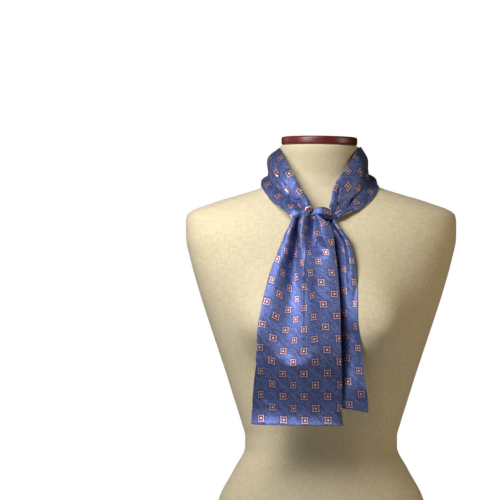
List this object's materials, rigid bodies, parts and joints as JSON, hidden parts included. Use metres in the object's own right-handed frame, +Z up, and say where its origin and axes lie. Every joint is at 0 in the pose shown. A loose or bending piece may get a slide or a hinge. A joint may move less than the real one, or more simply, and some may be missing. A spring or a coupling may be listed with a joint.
{
  "type": "cravat on dress form",
  "caption": "Long silk cravat tied round the neck of a limbless dress form, with a knot in front and a front and a back tail hanging on the chest.",
  "frame": {"origin": "middle of the flat underside that the form stands on, on the plumb line through the form", "axes": "+Z up; -Y is the front, where the knot and tails are; +X is the form's own left hand side"},
  "size_m": [0.4024, 0.2638, 0.673],
  "materials": {
    "printed_silk": "soft sheen silk, blue ground with small staggered red and white squares",
    "form_jersey": "matt cream jersey stretched over the form",
    "cap_mahogany": "polished dark red mahogany"
  },
  "bodies": {
    "root": {"form_torso": "form_jersey", "form_neck_cap": "cap_mahogany", "band_left": "printed_silk", "band_back": "printed_silk", "band_right": "printed_silk", "knot": "printed_silk", "front_tail": "printed_silk", "back_tail": "printed_silk"}
  },
  "joints": []
}
